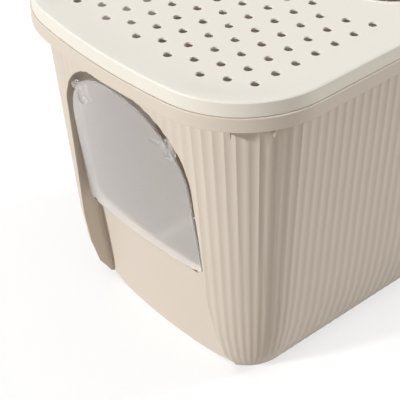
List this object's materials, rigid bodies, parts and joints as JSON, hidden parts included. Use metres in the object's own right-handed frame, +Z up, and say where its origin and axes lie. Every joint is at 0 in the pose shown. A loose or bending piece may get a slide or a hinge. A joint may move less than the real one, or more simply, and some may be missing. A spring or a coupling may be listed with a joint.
{
  "type": "top entry litter box",
  "caption": "Tall fluted litter box with an entry hole in its vented lift-off lid and an arched front niche with a clear swinging flap.",
  "frame": {"origin": "on the floor, under the middle of the whole box", "axes": "+Z up; the front with the arched niche and its flap faces -Y, the entry hole in the lid is towards +Y; X runs across the width"},
  "size_m": [0.4024, 0.5644, 0.414],
  "materials": {
    "tub": "satin warm beige moulding",
    "lid": "satin off-white moulding",
    "flap": "clear, lightly frosted sheet"
  },
  "bodies": {
    "tub_body": {"tub": "tub"},
    "lid_body": {"lid": "lid"},
    "flap_body": {"flap": "flap"}
  },
  "joints": [
    {"name": "lid_lift", "type": "slide", "parent": "tub_body", "child": "lid_body", "axis": [0, 0, 1], "range_m": [0, 0.12]},
    {"name": "flap_swing", "type": "hinge", "parent": "tub_body", "child": "flap_body", "pos_m": [0, -0.2515, 0.3215], "axis": [-1, 0, 0], "range_deg": [-80, 80]}
  ]
}
